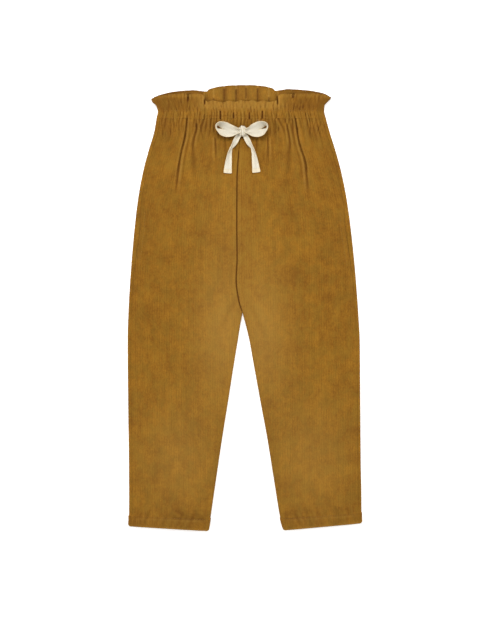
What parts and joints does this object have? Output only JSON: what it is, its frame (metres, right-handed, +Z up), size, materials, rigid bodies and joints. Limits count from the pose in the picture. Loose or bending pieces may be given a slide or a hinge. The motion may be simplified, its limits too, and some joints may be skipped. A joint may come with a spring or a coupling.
{
  "type": "child's pull-on corduroy trousers, laid flat",
  "caption": "Child's pull-on trousers in mustard corduroy with a gathered paper-bag waist, a cotton tape bow, side-seam pockets and turned hems, laid flat.",
  "frame": {"origin": "middle of the garment's bounding box, on the surface that it lies on", "axes": "+Z up from the surface, +Y along the legs towards the waist, +X across to the viewer's right"},
  "size_m": [0.2821, 0.535, 0.0202],
  "materials": {
    "corduroy": "fine-ribbed cotton corduroy in mustard, matt with a soft nap",
    "cotton_tape": "woven herringbone cotton tape in off-white, matt"
  },
  "bodies": {
    "root": {"front_left": "corduroy", "front_right": "corduroy", "back_left": "corduroy", "back_right": "corduroy", "waist_front": "corduroy", "waist_back": "corduroy", "knot": "cotton_tape", "lead_left": "cotton_tape", "lead_right": "cotton_tape", "loop_left": "cotton_tape", "loop_right": "cotton_tape", "tail_left": "cotton_tape", "tail_right": "cotton_tape"}
  },
  "joints": []
}
